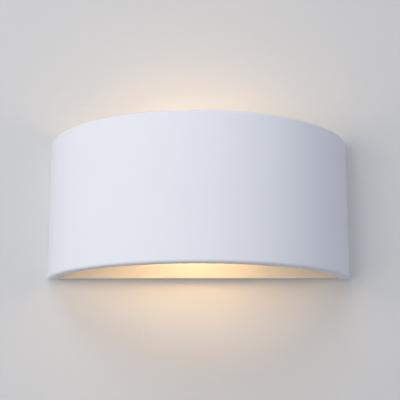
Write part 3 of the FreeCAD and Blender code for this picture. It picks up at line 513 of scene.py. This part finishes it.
def stripedSilicone(look):
    # The earth lead's insulation is extruded in two colours, so its stripes run along it.
    material, tree, shader, place = startMaterial("greenYellowSilicone", {
        "IOR": 1.43, "Sheen Weight": 0.1})
    facing = addNode(tree, "ShaderNodeTexCoord").outputs["Normal"]
    split = addNode(tree, "ShaderNodeSeparateXYZ", inputs={"Vector": facing})
    size = addNode(tree, "ShaderNodeMath", {"operation": "ABSOLUTE"}, {0: split.outputs["Y"]})
    stripe = addNode(tree, "ShaderNodeMapRange", inputs={
        "Value": size.outputs[0], "From Min": look["edge"] - look["blur"],
        "From Max": look["edge"] + look["blur"]})
    colour = addNode(tree, "ShaderNodeMix", {"data_type": "RGBA"}, {
        0: stripe.outputs["Result"], 6: linear(look["green"]), 7: linear(look["yellow"])})
    tree.links.new(colour.outputs[2], shader.inputs["Base Color"])
    skin = addNode(tree, "ShaderNodeTexNoise", inputs={
        "Vector": place, "Scale": perMetre(look["skin"]), "Detail": 2.0})
    rough = addNode(tree, "ShaderNodeMapRange", inputs={
        "Value": skin.outputs["Fac"], "To Min": look["smooth"], "To Max": look["rough"]})
    tree.links.new(rough.outputs["Result"], shader.inputs["Roughness"])
    bump = addNode(tree, "ShaderNodeBump", inputs={
        "Height": skin.outputs["Fac"], "Distance": look["texture"] * mm})
    tree.links.new(bump.outputs["Normal"], shader.inputs["Normal"])
    return material


finishNodes(stripedSilicone(stripeLook), "earth_lead")

stemLook = {"glass": "f4faf7", "streak": 2.0, "streakDeep": 0.08, "smooth": 0.01,
            "rough": 0.08}


def flintGlass(look):
    # The lamp's stem is clear pressed glass, with a faint green in its thickness and the
    # ripples of the pinch.
    material, tree, shader, place = startMaterial("clearStemGlass", {
        "Base Color": linear(look["glass"]), "Transmission Weight": 1.0, "IOR": 1.52})
    ripple = addNode(tree, "ShaderNodeTexNoise", inputs={
        "Vector": place, "Scale": perMetre(look["streak"]), "Detail": 1.0})
    rough = addNode(tree, "ShaderNodeMapRange", inputs={
        "Value": ripple.outputs["Fac"], "To Min": look["smooth"], "To Max": look["rough"]})
    tree.links.new(rough.outputs["Result"], shader.inputs["Roughness"])
    bump = addNode(tree, "ShaderNodeBump", inputs={
        "Height": ripple.outputs["Fac"], "Distance": look["streakDeep"] * mm})
    tree.links.new(bump.outputs["Normal"], shader.inputs["Normal"])
    return material


finishNodes(flintGlass(stemLook), "lamp_stem")

boardLook = {"mask": "2f6b45", "copper": "3f8457", "pad": "c9c4b4", "track": 1.6,
             "trackEdge": 0.3, "trackDeep": 0.035, "part": 2.4, "padEdge": 0.16, "padDeep": 0.05,
             "maskRough": 0.28, "padRough": 0.42}


def driverBoard(look):
    # Glass-fibre board under green solder resist: paler green over the copper tracks, and
    # tinned pads.
    material, tree, shader, place = startMaterial("solderMaskedBoard", {"IOR": 1.55})
    tracks = addNode(tree, "ShaderNodeTexVoronoi", {"distance": "CHEBYCHEV"}, {
        "Vector": place, "Scale": perMetre(look["track"]), "Randomness": 0.6})
    pads = addNode(tree, "ShaderNodeTexVoronoi", {"distance": "EUCLIDEAN"}, {
        "Vector": place, "Scale": perMetre(look["part"]), "Randomness": 0.8})
    track = addNode(tree, "ShaderNodeMath", {"operation": "LESS_THAN"}, {
        0: tracks.outputs["Distance"], 1: look["trackEdge"]})
    pad = addNode(tree, "ShaderNodeMath", {"operation": "LESS_THAN"}, {
        0: pads.outputs["Distance"], 1: look["padEdge"]})
    green = addNode(tree, "ShaderNodeMix", {"data_type": "RGBA"}, {
        0: track.outputs[0], 6: linear(look["mask"]), 7: linear(look["copper"])})
    colour = addNode(tree, "ShaderNodeMix", {"data_type": "RGBA"}, {
        0: pad.outputs[0], 6: green.outputs[2], 7: linear(look["pad"])})
    tree.links.new(colour.outputs[2], shader.inputs["Base Color"])
    tree.links.new(pad.outputs[0], shader.inputs["Metallic"])
    rough = addNode(tree, "ShaderNodeMapRange", inputs={
        "Value": pad.outputs[0], "To Min": look["maskRough"], "To Max": look["padRough"]})
    tree.links.new(rough.outputs["Result"], shader.inputs["Roughness"])
    raised = addNode(tree, "ShaderNodeBump", inputs={
        "Height": track.outputs[0], "Distance": look["trackDeep"] * mm})
    tinned = addNode(tree, "ShaderNodeBump", inputs={
        "Height": pad.outputs[0], "Distance": look["padDeep"] * mm,
        "Normal": raised.outputs["Normal"]})
    tree.links.new(tinned.outputs["Normal"], shader.inputs["Normal"])
    return material


finishNodes(driverBoard(boardLook), "lamp_driver")
print("porcelain, mouldings, leads and the lamp's insides are on")

# The two hanging studs are M4 steel, their threads rolled from just in front of the bracket to
# the tip, and the end is chamfered so that the wheel nut starts easily.
studSize = {"apart": 120.0, "above": 57.5, "length": 17.0, "outer": 1.98, "root": 1.56,
            "pitch": 0.7, "halfRidge": 0.31, "sunk": 0.1, "threadFrom": 2.1, "turns": 20,
            "chamfer": 0.45, "around": 28}


def threadedStuds(s):
    studs = bmesh.new()
    bmesh.ops.create_cone(studs, cap_ends=True, segments=s["around"], radius1=s["root"] * mm,
                          radius2=s["root"] * mm, depth=s["length"] * mm)
    tip = [e for e in studs.edges if all(v.co.z > 0 for v in e.verts)]
    bmesh.ops.bevel(studs, geom=tip, offset=s["chamfer"] * mm, segments=1, affect="EDGES",
                    profile=0.5, material=-1)
    # the ridge is one triangle turned and moved along the stud
    start = -s["length"] / 2 + s["threadFrom"]
    foot, half = s["root"] - s["sunk"], s["halfRidge"]
    corners = [(foot, -half), (s["outer"], 0.0), (foot, half)]
    ridge = [studs.verts.new((x * mm, 0, (start + z) * mm)) for x, z in corners]
    face = studs.faces.new(ridge)
    steps = s["turns"] * s["around"]
    bmesh.ops.spin(studs, geom=[face, *face.edges, *ridge], cent=(0, 0, 0), axis=(0, 0, 1),
                   dvec=(0, 0, s["pitch"] * mm / s["around"]), steps=steps,
                   angle=math.radians(360 * s["turns"]), use_merge=False)
    bmesh.ops.recalc_face_normals(studs, faces=studs.faces)
    bmesh.ops.rotate(studs, verts=studs.verts, cent=(0, 0, 0),
                     matrix=Matrix.Rotation(math.radians(90), 3, "X"))
    bmesh.ops.translate(studs, verts=studs.verts, vec=(
        -s["apart"] / 2 * mm, -s["length"] / 2 * mm, s["above"] * mm))
    twin = bmesh.ops.duplicate(studs, geom=[*studs.verts, *studs.edges, *studs.faces])["geom"]
    bmesh.ops.translate(studs, verts=[v for v in twin if isinstance(v, bmesh.types.BMVert)],
                        vec=(s["apart"] * mm, 0, 0))
    mesh = bpy.data.meshes.new("threadedStuds")
    studs.to_mesh(mesh)
    studs.free()
    mesh.materials.append(nodes["hanging_studs"].data.materials[0])
    piece = bpy.data.objects.new("threadedStuds", mesh)
    bpy.context.scene.collection.objects.link(piece)
    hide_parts("hanging_studs")
    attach(piece, "bracket")


threadedStuds(studSize)
print("studs are threaded")
